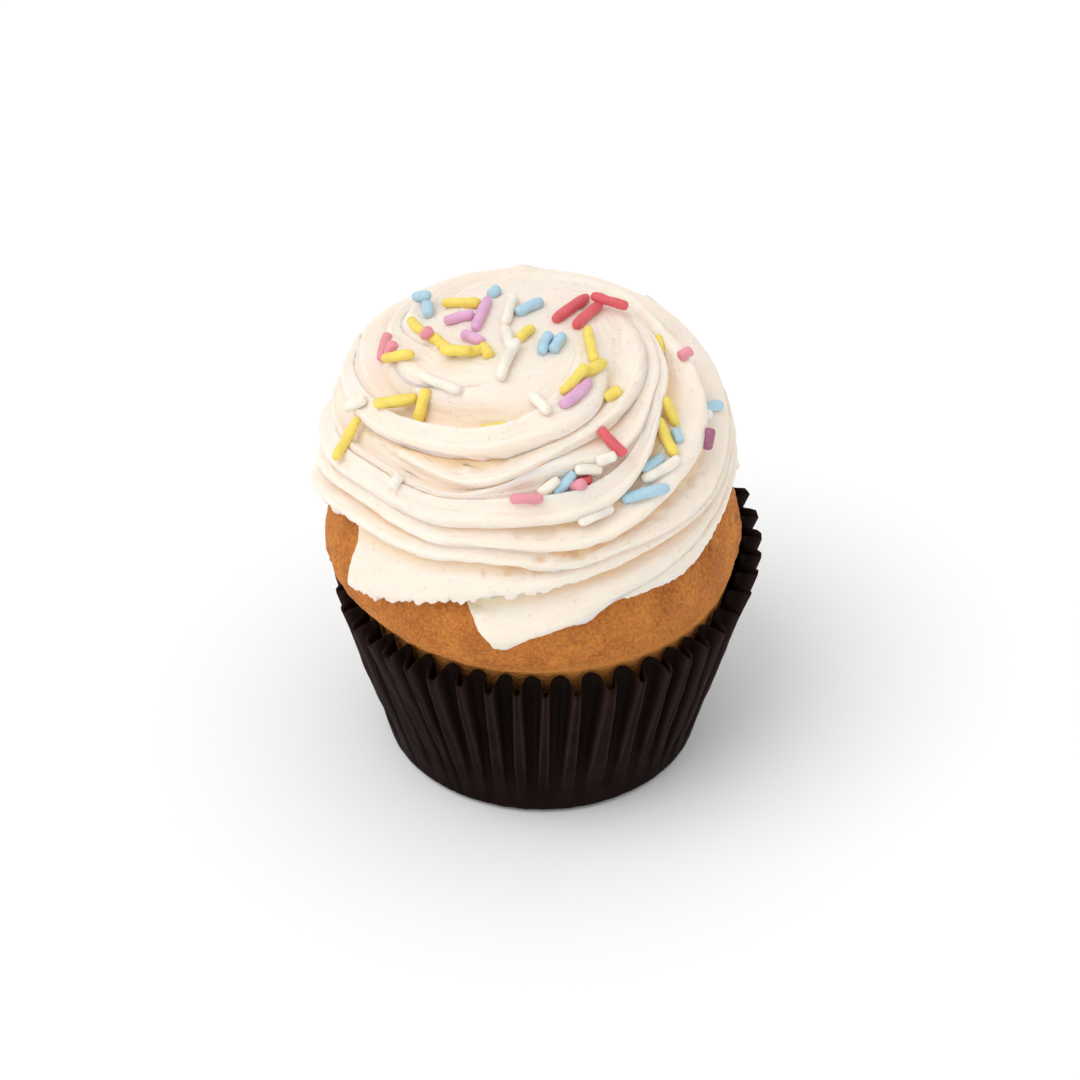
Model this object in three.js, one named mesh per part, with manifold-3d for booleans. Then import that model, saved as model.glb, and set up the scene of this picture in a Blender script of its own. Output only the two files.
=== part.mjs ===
// A frosted cupcake: a fluted paper case, a domed sponge that fills it, and a piped buttercream swirl
// with sugar strands. Lengths are millimetres, angles are degrees, and +Z is up. The origin is the
// middle of the case's flat base, on the surface that it stands on. An azimuth of 0 points along +X,
// and -90 points to the front.
import * as THREE from "three";
import { mergeVertices } from "three/addons/utils/BufferGeometryUtils.js";
import Module from "manifold-3d";

const wasm = await Module();
wasm.setup();

// ---- The paper case ----
const CASE_BASE_RADIUS = 25.8; // where the base turns up into the wall
const CASE_HEIGHT = 34; // up to the inner folds of the rim
const RIM_INNER_RADIUS = 31.8; // the broad inner folds, outside face
const RIM_OUTER_RADIUS = 34.7; // the sharp outer creases
const BASE_PLEAT_DEPTH = 0.5; // how deep the flutes are where they start
const BASE_TURN = 1.1; // the rounded corner between base and wall
const PAPER = 0.5; // thickness of the wall
const FLUTES = 45;
const POINTS_PER_FLUTE = 4;
const FOLD_BREADTH = 0.35; // under 1 makes the inner folds broad and the outer creases narrow
const FLUTE_WOBBLE = [ // uneven spacing: [degrees, waves round the case, phase]
  [0.9, 5, 40],
  [0.7, 8, 200],
];
const CREASE_DROP = 0.9; // the outer creases lean further out, so their edge is lower
const RIM_BENDS = [ // where the rim is bent away from the cake or pressed in under it
  { azimuth: 33, width: 30, out: 3.6, up: 1.6 },
  { azimuth: 180, width: 34, out: -0.9, up: -2 },
];
const WALL_LEVELS = [0.045, 0.35, 0.7, 1]; // heights of the wall's rings, as shares of the whole
const LINING_LEVELS = [1, 0.66, 0.06]; // the same on the inside, from the rim down

// ---- The sponge ----
const FIT_GAP = 0.4; // clear space between neighbouring pieces
const CROWN_RADIUS = 32.9; // the muffin top, at its widest
const CROWN_WIDEST_Z = 39.5;
const CROWN_TOP_Z = 59.5;
const CROWN_SHIFT = -1.7; // the crown rose a little to one side, along X
const CROWN_ROUNDNESS = 0.8; // under 1 is squarer than an ellipse
const CROWN_TUCK = 70; // degrees that the crown's edge curls under, towards the rim
const CROWN_OVER_RIM = 0.2; // height of that edge above the paper's
const SPONGE_AROUND = 42;
const SPONGE_SIDE_LEVELS = 3;
const SPONGE_CROWN_LEVELS = 10;
const SPONGE_LUMPS = [ // slow unevenness of the crown: [mm, waves round it, phase]
  [0.6, 2, 90],
  [0.25, 3, 20],
  [0.2, 7, 130],
];

// ---- The buttercream swirl ----
const SWIRL_X = -2.3; // the swirl's axis stands a little to one side of the case's
const SWIRL_RADIUS = 33.4; // over the lips, at its widest
const SWIRL_WIDEST_Z = 44.8;
const SWIRL_TOP_Z = 79;
const SWIRL_FOOT_Z = 42; // the lowest tip: climbs, which are lengths up the dome, start here
const SWIRL_BELOW_FOOT = 2; // the buried end of the swirl's skin, inside the sponge
const DOME_POWER = { radius: 0.75, height: 0.71 }; // under 1 makes square shoulders
const DOME_STEPS = 400;
const AXIS_CLEAR = 0.2; // no ring comes nearer to the swirl's axis than this
const CLIMB = 0.118; // mm up the dome for each degree that a ridge turns
// The ridges of the piped rope, in their order round the foot. `start` is the azimuth of a ridge's tip,
// and `lean` is 1 where the edge above the tip stands upright, less where it leans back.
// Every WAY_STEP degrees of its way, `stray` is how far it strays above (+) or below (-) an even climb,
// in mm, and `hang` is how far its lip overhangs the ridge below: 1 fully, 0 not, -1 set back instead.
const WAY_STEP = 40;
const RIDGES = [
  {
    start: 10,
    lean: 0.9,
    stray: [4, 4.5, 4.1, 3.8, 4.3, 0.8, -3, 0.5, 0, 0, -1.7],
    hang: [1, 1, 1, 1, 0.3, -0.8, -0.8, 0.7, 0.8, 0.6, 0.5],
  },
  {
    start: 52,
    lean: 0.9,
    stray: [3, 5.5, 7.5, 8.3, 4.9, 1.2, -1, 2.8, 3.2, 1.5, -0.2],
    hang: [1, 1, 1, 0.6, -0.7, -0.8, -0.6, 0.5, 0.6, 0.5, 0.4],
  },
  {
    start: 92,
    lean: 0.8,
    stray: [2.5, 4.5, 5.1, 5, 1.3, -1.1, 5.5, 7.2, 4.7, 2.5, 0.3],
    hang: [1, 1, 0.9, 0.6, 1, 1, 1, 0.9, 0.7, 0.6, 0.4],
  },
  {
    start: 132,
    lean: 1,
    stray: [2.5, 5.3, 7.4, 2.9, -1.4, -0.8, 8.2, 5.5, 2.2, 0, -0.2],
    hang: [1, 1, 1, 0.5, 1, 1, 1, 0.9, 0.8, 0.6, 0.4],
  },
  {
    start: 170,
    lean: 0.9,
    stray: [4.5, 7.9, 5, 0.3, -3, -1, 0, 0, -2, -4, -4],
    hang: [1, 0.45, 0.5, 0.5, 0.3, 0.6, 0.9, 0.9, 0.7, 0.3, 0.1],
  },
  {
    start: 217,
    lean: 1,
    stray: [0.8, 3.7, 3.7, 1, 0.5, 1, 1, 0, -1, -4, -5],
    hang: [1, 0.45, 0.8, 1, 0.9, 0.9, 0.8, 0.7, 0.4, 0.1, 0.1],
  },
  {
    start: 262,
    lean: 0.72,
    stray: [0.5, 2.8, 4, 3, 3, 2, 0, -3, -4.4, -5.7, -4.6],
    hang: [1, 1, 1, 1, 1, 1, 0.7, -0.2, -1, -1, -0.6],
  },
  {
    start: 298,
    lean: 0.8,
    stray: [6.2, 5.8, 4.1, 2.8, 2.1, 0.4, -2.3, -4.2, -5.5, -6, -2.2],
    hang: [1, 1, 1, 1, 1, 1, 1, 1, 1, 0.9, 0.5],
  },
];
const LIP_OVERHANG = 4; // mm from a lip's edge in to the ridge below
const HIGH_LIPS = { from: 12, to: 22, share: 0.6 }; // climbs from which the lips overhang by less
const LIP_SET_BACK = 3; // mm that a lip is set back where its hang is -1
const CLOSE_RIDGES = 5; // mm; ridges nearer to each other than this have shallower lips
const ROOM_POWER = 1.4; // how fast the lips get shallower there
const LEAST_ROOM = 0.15; // the least room, as a share of CLOSE_RIDGES, that the lips are shaped for
const LEAST_GAP = 0.5; // mm that each lip stays below the one above it
const LIP_BREADTH = 0.09; // the share of a section, at each end, that takes its room from the nearer lip
// The section from one ridge's lip down to the next: `down` is the share of the way, `under` the share of
// the overhang, and `drop` how far the point is pushed down the dome (+) or up it (-), in mm.
const LIP_SECTION = [
  { down: 0, under: 0, drop: 0.4 },
  { down: 0.04, under: 0.5, drop: 0.6 },
  { down: 0.09, under: 1, drop: -0.2 },
  { down: 0.3, under: 0.8, drop: 0 },
  { down: 0.5, under: 0.4, drop: 0 },
  { down: 0.68, under: 0.02, drop: 0 },
  { down: 0.86, under: -0.1, drop: 0.1 },
];
const OWN_LIP = 0.05; // the points above this share belong to the lip above
const HALFWAY = 0.5; // the points above this share are nearer to the lip above
const LIP_FADE = { from: 36, to: 47, left: 0.3 }; // where on the climb the lips melt into the top
const TIP_FLARE = { out: 0.9, until: 45 }; // mm that a tip stands out, until this many degrees on
const SUNK_DEPTH = 9; // below the dome, inside the sponge
const TIP_BLUR = 4; // degrees over which a tip's edge rises
const SHEAR_UNTIL = 150; // the rings of points slant with the tips' edges, and are level from here on
const TURNS = [-TIP_BLUR, 0, 5, 12, 20]; // the first rings, close round the tips
const TURN_STEP = 12;
const LAST_TURN = 425;
const ENDING = 345; // from this turn on, the ridges even out towards the end of the swirl
const TOP_RINGS = [54, 56.5]; // climbs of the rings inside the swirl, on the top

// ---- The sugar strands ----
const STRAND_RADIUS = 0.95;
const STRAND_SIDES = 5;
const STRAND_TAPER = 0.5; // length of each rounded end
const STRAND_SINK = 0.4; // how deep they sit in the buttercream
// Where they fell at the front: [azimuth, climb, heading, length]. A heading of 0 lies level along the
// ridge and 90 points up the dome.
const STRANDS_ON_TOP = [
  [-202, 42, 30, 5],
  [-208, 47.5, 100, 6.5],
  [-193, 51.5, 0, 8],
  [-151, 49.5, 25, 4.5],
  [-168, 44.5, 30, 5],
  [-153, 45.5, 15, 5],
  [-142, 45.5, 40, 5.5],
  [-134, 40, 10, 7],
  [141, 55.5, 30, 7.5],
  [84, 55.5, 45, 5.5],
  [-117, 52.5, 130, 6.5],
  [-93, 55, 55, 4],
  [-104, 48, 85, 8],
  [-66, 52, 55, 5],
  [25, 51.5, 120, 9.5],
  [10, 49.5, 140, 8],
  [20, 45.5, 55, 6.5],
  [-32, 47.5, 40, 7.5],
  [-50, 44, 0, 6],
  [-64, 43, 25, 6],
  [-84, 40.5, 120, 5],
];
const STRANDS_IN_GROOVES = [
  [-180, 36, 135, 5],
  [-164, 38.5, 45, 7],
  [-148, 34, 55, 7],
  [-138, 36, 95, 6],
  [-156, 24.5, 95, 8],
  [-160, 29, 50, 5],
  [-104, 37, 15, 5.5],
  [-66, 41, 30, 6],
  [2, 37.5, 15, 4.5],
  [-10, 25.5, 145, 5],
  [-25, 24.5, 60, 4],
  [-30, 31.5, 85, 5.5],
  [-38, 28.5, 80, 7],
  [-60, 32, 110, 5.5],
  [-70, 29, 170, 5],
  [-78, 27.5, 40, 5],
  [-90, 25.5, 0, 5.5],
  [-47, 26.5, 0, 5],
  [-46, 24.5, 5, 7],
  [-54, 22.5, 0, 7.5],
  [-70, 21.5, 10, 6.5],
];
const BACK_STRANDS = 15; // spread over the back by a rule
const BACK = { from: 45, to: 140, low: 12, high: 26 }; // azimuths and climbs that they cover
const BACK_LENGTHS = { short: 4.5, long: 7 };
const BACK_MIX = { length: 5, heading: 7 }; // how fast these change from one strand to the next
const GOLDEN_SHARE = 0.618034; // steps of this share of a range fill it evenly
const PROBE = 10; // mm over the dome that the buttercream's surface is felt from

const MERGE_DISTANCE = 1e-4; // points nearer than this are one point

const rad = THREE.MathUtils.degToRad;
const lerp = THREE.MathUtils.lerp;
const smooth = THREE.MathUtils.smoothstep;
const polar = (radius, azimuth, z, x = 0) =>
  new THREE.Vector3(x + radius * Math.cos(rad(azimuth)), radius * Math.sin(rad(azimuth)), z);
const azimuthOf = (point) => THREE.MathUtils.radToDeg(Math.atan2(point.y, point.x));
const turnFrom = (a, b) => THREE.MathUtils.euclideanModulo(b - a + 180, 360) - 180;
const waves = (list, azimuth) =>
  list.reduce((sum, [size, count, phase]) => sum + size * Math.sin(rad(count * azimuth + phase)), 0);

// A closed skin over rings with as many points each, from one pole to another.
function skinOverRings(startPole, rings, endPole) {
  const around = rings[0].length;
  const points = [startPole, ...rings.flat(), endPole];
  const at = (ring, i) => 1 + ring * around + (i % around);
  const index = [];
  for (let i = 0; i < around; i++) {
    index.push(0, at(0, i + 1), at(0, i));
    for (let ring = 0; ring + 1 < rings.length; ring++) {
      const [a, b] = [at(ring, i), at(ring, i + 1)];
      const [c, d] = [at(ring + 1, i + 1), at(ring + 1, i)];
      index.push(a, b, d, b, c, d);
    }
    index.push(at(rings.length - 1, i), at(rings.length - 1, i + 1), points.length - 1);
  }
  return new THREE.BufferGeometry().setFromPoints(points).setIndex(index);
}

// A closed geometry as a manifold-3d solid, without the flat triangles that a lathe leaves on its axis.
function toSolid(geometry) {
  const bare = geometry.clone();
  bare.deleteAttribute("normal");
  bare.deleteAttribute("uv");
  const merged = mergeVertices(bare, MERGE_DISTANCE);
  const kept = [];
  for (let i = 0; i < merged.index.count; i += 3) {
    const corners = [0, 1, 2].map((k) => merged.index.getX(i + k));
    if (new Set(corners).size === 3) kept.push(...corners);
  }
  const triVerts = new Uint32Array(kept);
  const vertProperties = new Float32Array(merged.attributes.position.array);
  return new wasm.Manifold(new wasm.Mesh({ numProp: 3, vertProperties, triVerts }));
}

// A solid's outer shell as a geometry. Loose crumbs and sealed hollows that cutting left are dropped.
function toGeometry(solid) {
  const { vertProperties, triVerts } = solid.getMesh();
  const parent = Array.from({ length: vertProperties.length / 3 }, (_, i) => i);
  const rootOf = (start) => {
    let i = start;
    while (parent[i] !== i) {
      parent[i] = parent[parent[i]];
      i = parent[i];
    }
    return i;
  };
  for (let i = 0; i < triVerts.length; i += 3) {
    parent[rootOf(triVerts[i])] = rootOf(triVerts[i + 1]);
    parent[rootOf(triVerts[i + 1])] = rootOf(triVerts[i + 2]);
  }
  const shells = new Map();
  for (let i = 0; i < triVerts.length; i += 3) {
    const root = rootOf(triVerts[i]);
    if (!shells.has(root)) shells.set(root, []);
    shells.get(root).push(triVerts[i], triVerts[i + 1], triVerts[i + 2]);
  }
  const largest = [...shells.values()].sort((a, b) => b.length - a.length)[0];
  const geometry = new THREE.BufferGeometry();
  geometry.setAttribute("position", new THREE.BufferAttribute(new Float32Array(vertProperties), 3));
  geometry.setIndex(largest);
  geometry.computeVertexNormals();
  return geometry;
}

// ---- Paper case ----

// 1 at a sharp outer crease and -1 along the broad, round inner fold.
const fluteWave = (share) => 1 - 2 * Math.abs(Math.sin(Math.PI * share)) ** FOLD_BREADTH;
const rimBend = (azimuth, key) =>
  RIM_BENDS.reduce((sum, bend) => {
    const away = turnFrom(bend.azimuth, azimuth) / bend.width;
    return sum + bend[key] * Math.exp(-(away ** 2));
  }, 0);

// One ring of the wall at a share of its height, moved inwards by the given distance.
function wallRing(share, inwards) {
  const count = FLUTES * POINTS_PER_FLUTE;
  return Array.from({ length: count }, (_, i) => {
    const even = (i / count) * 360;
    const azimuth = even + waves(FLUTE_WOBBLE, even);
    const wave = fluteWave((i % POINTS_PER_FLUTE) / POINTS_PER_FLUTE);
    const depth = lerp(BASE_PLEAT_DEPTH, RIM_OUTER_RADIUS - RIM_INNER_RADIUS, share);
    const middle = lerp(CASE_BASE_RADIUS, (RIM_OUTER_RADIUS + RIM_INNER_RADIUS) / 2, share);
    const radius = middle + (depth / 2) * wave + rimBend(azimuth, "out") * share ** 2 - inwards;
    const drop = (CREASE_DROP * (1 + wave)) / 2;
    return polar(radius, azimuth, share * (CASE_HEIGHT - drop) + rimBend(azimuth, "up") * share ** 2);
  });
}

function makeCase() {
  const azimuths = wallRing(0, 0).map(azimuthOf);
  const flatRing = (radius, z) => azimuths.map((azimuth) => polar(radius, azimuth, z));
  const wall = WALL_LEVELS.map((share) => wallRing(share, 0));
  const lining = LINING_LEVELS.map((share) => wallRing(share, PAPER));
  const foot = flatRing(CASE_BASE_RADIUS - BASE_TURN, 0);
  const floor = flatRing(CASE_BASE_RADIUS - BASE_TURN - PAPER, PAPER);
  const middle = new THREE.Vector3(0, 0, 0);
  return skinOverRings(middle, [foot, ...wall, ...lining, floor], middle.clone().setZ(PAPER));
}

// ---- Sponge ----

// The widest radius that fits inside the paper at an azimuth and a share of its height.
const insideCase = (azimuth, share) =>
  lerp(CASE_BASE_RADIUS - BASE_PLEAT_DEPTH / 2, RIM_INNER_RADIUS, share) -
  (PAPER + FIT_GAP) +
  Math.min(rimBend(azimuth, "out"), 0) * share ** 2;

// The crown's section at a place from its lower edge (-1) through its widest (0) to the top (1): `bulge`
// is how far it is out from the paper's mouth (0) to its full radius (1), and `narrow` draws it in above.
function crownCurve(along) {
  if (along >= 0) {
    const turn = rad(90 * along);
    const narrow = Math.cos(turn) ** CROWN_ROUNDNESS;
    return { bulge: 1, narrow, z: lerp(CROWN_WIDEST_Z, CROWN_TOP_Z, Math.sin(turn)) };
  }
  const tuck = rad(CROWN_TUCK);
  const bulge = (Math.cos(along * tuck) - Math.cos(tuck)) / (1 - Math.cos(tuck));
  const fall = Math.sin(-along * tuck) / Math.sin(tuck);
  return { bulge, narrow: 1, z: lerp(CROWN_WIDEST_Z, CASE_HEIGHT + CROWN_OVER_RIM, fall) };
}

// The sponge, or the same form swollen by a distance, to cut the buttercream's hollow with.
function makeSponge(swell = 0) {
  const azimuths = Array.from({ length: SPONGE_AROUND }, (_, i) => (i / SPONGE_AROUND) * 360);
  const floorZ = PAPER + FIT_GAP;
  const rings = [];
  for (let i = 0; i < SPONGE_SIDE_LEVELS; i++) {
    const share = i / SPONGE_SIDE_LEVELS;
    const z = lerp(floorZ, CASE_HEIGHT, share);
    const corner = i === 0 ? BASE_TURN : 0;
    rings.push(azimuths.map((azimuth) => polar(insideCase(azimuth, share) - corner, azimuth, z)));
  }
  for (let i = 0; i < SPONGE_CROWN_LEVELS; i++) {
    const along = lerp(-1, 1, i / SPONGE_CROWN_LEVELS);
    const { bulge, narrow, z } = crownCurve(along);
    rings.push(
      azimuths.map((azimuth) => {
        const full = CROWN_RADIUS + waves(SPONGE_LUMPS, azimuth);
        const radius = lerp(insideCase(azimuth, 1), full, bulge) * narrow + swell;
        return polar(radius, azimuth, z + swell * Math.max(along, 0), CROWN_SHIFT * bulge);
      }),
    );
  }
  const top = new THREE.Vector3(CROWN_SHIFT, 0, CROWN_TOP_Z + swell);
  return skinOverRings(new THREE.Vector3(0, 0, floorZ), rings, top);
}

// ---- Buttercream swirl ----

// The dome over the lips, as points from its widest up to its top, each with the climb that it lies at.
function domeRows() {
  const rows = [];
  let climb = SWIRL_WIDEST_Z - SWIRL_FOOT_Z;
  for (let i = 0; i <= DOME_STEPS; i++) {
    const turn = rad((90 * i) / DOME_STEPS);
    const radius = SWIRL_RADIUS * Math.cos(turn) ** DOME_POWER.radius;
    const z = lerp(SWIRL_WIDEST_Z, SWIRL_TOP_Z, Math.sin(turn) ** DOME_POWER.height);
    const last = rows.at(-1) ?? { radius, z };
    climb += Math.hypot(radius - last.radius, z - last.z);
    rows.push({ climb, radius, z });
  }
  return rows;
}
const DOME = domeRows();

// The dome's radius and height at a climb, and its outward direction there. Below its widest it is upright.
function domeAt(climb) {
  const first = DOME[0];
  if (climb <= first.climb) {
    return { radius: first.radius, z: first.z + climb - first.climb, outR: 1, outZ: 0 };
  }
  let i = 1;
  while (i < DOME.length - 1 && DOME[i].climb < climb) i++;
  const [a, b] = [DOME[i - 1], DOME[i]];
  const share = (climb - a.climb) / (b.climb - a.climb);
  const length = Math.hypot(b.radius - a.radius, b.z - a.z);
  return {
    radius: lerp(a.radius, b.radius, share),
    z: lerp(a.z, b.z, share),
    outR: (b.z - a.z) / length,
    outZ: (a.radius - b.radius) / length,
  };
}

// A ridge's value at a turn, read from its list and eased from one entry to the next.
function alongWay(list, turn) {
  const at = Math.min(Math.max(turn / WAY_STEP, 0), list.length - 1);
  const i = Math.min(Math.floor(at), list.length - 2);
  return lerp(list[i], list[i + 1], smooth(at - i, 0, 1));
}
const ending = (turn) => smooth(turn, ENDING, LAST_TURN);
const freeClimb = (ridge, turn) => CLIMB * turn + alongWay(ridge.stray, turn) * (1 - ending(turn));

// Ridges by their number, which may run over either end of the list, and the turn from one to the next.
const ridgeAt = (which) => RIDGES.at(which % RIDGES.length);
const gapAfter = (which) => (ridgeAt(which + 1).start - ridgeAt(which).start + 360) % 360;

// The climb of a ridge's lip, kept below the lip of the ridge above it.
function climbOf(which, turn) {
  const lipAbove = freeClimb(ridgeAt(which - 1), turn + gapAfter(which - 1));
  return Math.min(freeClimb(ridgeAt(which), turn), lipAbove - LEAST_GAP);
}

// The share of its depth that a section keeps at a point: less between two close lips, and at a lip
// less where either of its neighbours is close.
function roomAt(which, down, turn) {
  const turnOfNext = turn - gapAfter(which) * (1 - down);
  const turnOfOwn = turn + gapAfter(which) * down;
  const above = climbOf(which, turnOfOwn);
  const below = climbOf(which + 1, turnOfNext);
  const beyond =
    down < HALFWAY
      ? climbOf(which - 1, turnOfOwn + gapAfter(which - 1)) - above
      : below - climbOf(which + 2, turnOfNext - gapAfter(which + 1));
  const atLip = 1 - smooth(Math.min(down, 1 - down), 0, LIP_BREADTH);
  const space = lerp(above - below, Math.min(above - below, beyond), atLip);
  return THREE.MathUtils.clamp(space / CLOSE_RIDGES, LEAST_ROOM, 1) ** ROOM_POWER;
}

// One point of the skin: `ridge` is the lip above it, `section` its place in the lip's section, and
// `level` the ring that it lies on, as degrees round the swirl from the ridges' tips.
function swirlPoint(which, section, level) {
  const ridge = ridgeAt(which);
  const next = ridgeAt(which + 1);
  const gap = gapAfter(which);
  const slant = section.down > OWN_LIP ? gap * next.lean * (1 - section.down) : 0;
  const turn = level + slant * (1 - smooth(level, 0, SHEAR_UNTIL));
  const azimuth = ridge.start + gap * section.down + turn;
  const climb = lerp(climbOf(which, turn), climbOf(which + 1, turn), section.down);
  const melt = lerp(1, LIP_FADE.left, smooth(climb, LIP_FADE.from, LIP_FADE.to)) * (1 - ending(turn));
  const room = roomAt(which, section.down, turn) * melt;
  const hangOfLip = alongWay((section.down > OWN_LIP ? next : ridge).hang, turn);
  const lip = LIP_SET_BACK * Math.max(-hangOfLip, 0);
  const reach = LIP_OVERHANG * lerp(1, HIGH_LIPS.share, smooth(climb, HIGH_LIPS.from, HIGH_LIPS.to));
  const under = reach * Math.max(alongWay(ridge.hang, turn), 0);
  const depth = lerp(lip, under, section.under);
  const flare = TIP_FLARE.out * (1 - smooth(turn, 0, TIP_FLARE.until)) * (1 - section.under);
  const there = smooth(level, -TIP_BLUR, 0);
  const inwards = lerp(SUNK_DEPTH, depth * room - flare, there);
  return domePoint(climb, azimuth, inwards, -section.drop * room * there);
}

// The point at a climb and an azimuth, moved inwards from the dome and then up along it.
function domePoint(climb, azimuth, inwards, up) {
  const dome = domeAt(Math.min(climb, DOME.at(-1).climb));
  const radius = Math.max(dome.radius - inwards * dome.outR - up * dome.outZ, AXIS_CLEAR);
  return polar(radius, azimuth, dome.z - inwards * dome.outZ + up * dome.outR, SWIRL_X);
}

function makeSwirl() {
  const levels = [...TURNS];
  while (levels.at(-1) + TURN_STEP < LAST_TURN) levels.push(levels.at(-1) + TURN_STEP);
  const rings = levels.map((level) =>
    RIDGES.flatMap((_, which) => LIP_SECTION.map((section) => swirlPoint(which, section, level))),
  );
  const axis = new THREE.Vector3(SWIRL_X, 0, 0);
  const azimuths = rings.at(-1).map((point) => azimuthOf(point.clone().sub(axis)));
  TOP_RINGS.forEach((climb) => rings.push(azimuths.map((azimuth) => domePoint(climb, azimuth, 0, 0))));
  const foot = new THREE.Vector3(SWIRL_X, 0, SWIRL_FOOT_Z - SWIRL_BELOW_FOOT);
  const top = new THREE.Vector3(SWIRL_X, 0, SWIRL_TOP_Z);
  return skinOverRings(foot, rings, top);
}

// ---- Sugar strands ----

// The level direction along the dome's side and the way out of it, at a climb and an azimuth.
function domeFrame(climb, azimuth) {
  const { outR, outZ } = domeAt(climb);
  return { level: polar(1, azimuth + 90, 0), out: polar(outR, azimuth, outZ) };
}

// A strand lying on the buttercream, whose surface is felt under its ends and its middle.
function makeStrand([azimuth, climb, heading, length], felt) {
  const { level, out } = domeFrame(climb, azimuth);
  const along = level.applyAxisAngle(out, rad(heading));
  const start = domePoint(climb, azimuth, 0, 0).addScaledVector(out, PROBE);
  const ray = new THREE.Raycaster();
  const [back, middle, front] = [-1, 0, 1].map((side) => {
    const above = start.clone().addScaledVector(along, side * (length / 2 - STRAND_RADIUS));
    ray.set(above, out.clone().negate());
    const hit = ray.intersectObject(felt)[0];
    return hit ? hit.point : above.addScaledVector(out, -PROBE);
  });
  const lie = front.clone().sub(back).normalize();
  const centre = back.add(front).multiplyScalar(0.5);
  const buried = Math.max(middle.clone().sub(centre).dot(out), 0);
  centre.addScaledVector(out, buried + STRAND_RADIUS - STRAND_SINK);
  const half = length / 2;
  const outline = [
    [0, -half],
    [STRAND_RADIUS, STRAND_TAPER - half],
    [STRAND_RADIUS, half - STRAND_TAPER],
    [0, half],
  ].map(([x, y]) => new THREE.Vector2(x, y));
  const turned = new THREE.Quaternion().setFromUnitVectors(new THREE.Vector3(0, 1, 0), lie);
  const place = new THREE.Matrix4().compose(centre, turned, new THREE.Vector3(1, 1, 1));
  return new THREE.LatheGeometry(outline, STRAND_SIDES).applyMatrix4(place);
}

// The back's strands, spread so that each falls in the widest space that the others have left.
function backStrands() {
  return Array.from({ length: BACK_STRANDS }, (_, i) => {
    const share = (i * GOLDEN_SHARE) % 1;
    const climb = lerp(BACK.low, BACK.high, (i + 0.5) / BACK_STRANDS);
    const heading = 180 * ((share * BACK_MIX.heading) % 1);
    const length = lerp(BACK_LENGTHS.short, BACK_LENGTHS.long, (share * BACK_MIX.length) % 1);
    return [lerp(BACK.from, BACK.to, share), climb, heading, length];
  });
}

// The swirl with its strands pressed in, hollowed where it sits on the sponge.
function makeButtercream() {
  const swirl = makeSwirl();
  const felt = new THREE.Mesh(swirl);
  const strands = [...STRANDS_ON_TOP, ...STRANDS_IN_GROOVES, ...backStrands()];
  const pressIn = (solid, strand) => solid.add(toSolid(makeStrand(strand, felt)));
  const topped = strands.reduce(pressIn, toSolid(swirl));
  return toGeometry(topped.subtract(toSolid(makeSponge(FIT_GAP))));
}

// ---- The cupcake ----

const finish = (color, roughness) =>
  new THREE.MeshStandardMaterial({ color, roughness, metalness: 0 });
const PAPER_FINISH = finish(0x20140f, 0.7);
const SPONGE_FINISH = finish(0xc07f3f, 0.9);
const BUTTERCREAM_FINISH = finish(0xfaecd9, 0.55);

const cupcake = new THREE.Group();
function add(name, geometry, material) {
  const mesh = new THREE.Mesh(geometry, material);
  mesh.name = name;
  cupcake.add(mesh);
}
add("paper_case", makeCase(), PAPER_FINISH);
add("sponge", makeSponge(), SPONGE_FINISH);
add("buttercream", makeButtercream(), BUTTERCREAM_FINISH);

export default cupcake;
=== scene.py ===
# %% [markdown]
# # A frosted cupcake
# The object is a fluted paper case, a domed sponge that rose over its rim, a swirl of buttercream piped
# with a wide open-star nozzle, and a scatter of sugar strands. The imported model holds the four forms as
# plain solids. This lesson lays the real surfaces over them: pleats in the paper, crumb on the sponge,
# torn lips on the buttercream and the strands in their own colours.

# %% The frame that everything is fitted to
import math

import bpy
import numpy as np
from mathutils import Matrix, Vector
from mathutils.bvhtree import BVHTree


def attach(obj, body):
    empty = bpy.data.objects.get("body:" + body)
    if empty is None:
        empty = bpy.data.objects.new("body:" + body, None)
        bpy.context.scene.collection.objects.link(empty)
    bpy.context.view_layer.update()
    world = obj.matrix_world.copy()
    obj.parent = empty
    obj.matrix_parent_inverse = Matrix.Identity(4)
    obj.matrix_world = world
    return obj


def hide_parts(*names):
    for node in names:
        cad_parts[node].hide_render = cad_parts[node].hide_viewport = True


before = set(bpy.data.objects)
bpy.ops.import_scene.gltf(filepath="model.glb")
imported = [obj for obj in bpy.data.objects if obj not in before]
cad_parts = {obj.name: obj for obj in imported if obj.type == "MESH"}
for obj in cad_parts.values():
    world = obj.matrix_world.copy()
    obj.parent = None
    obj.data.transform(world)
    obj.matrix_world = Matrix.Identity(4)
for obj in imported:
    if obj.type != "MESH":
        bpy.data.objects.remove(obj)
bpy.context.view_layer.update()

MM = 0.001  # Blender counts in metres, and this lesson in millimetres

# %% [markdown]
# ## Small tools
# Most of the shapes below are grids of points that a rule places, because numpy can bend a whole grid at
# once. A skin joins such rings of points into one closed mesh.

# %% Easing and waves


def lerp(low, high, share):
    return low + (high - low) * share


def ease(value, start, end):
    share = np.clip((value - start) / (end - start), 0, 1)
    return share * share * (3 - 2 * share)


def polar(radius, azimuth, z, x=0.0):
    turn = np.radians(azimuth)
    across, ahead = x + radius * np.cos(turn), radius * np.sin(turn)
    return np.stack(np.broadcast_arrays(across, ahead, z), axis=-1)


def waves(rows, azimuth):
    return sum(size * np.sin(np.radians(count * azimuth + phase)) for size, count, phase in rows)


# %% Random lumps
LATTICE = np.random.default_rng(11).uniform(-1, 1, (32, 32, 32))


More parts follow.
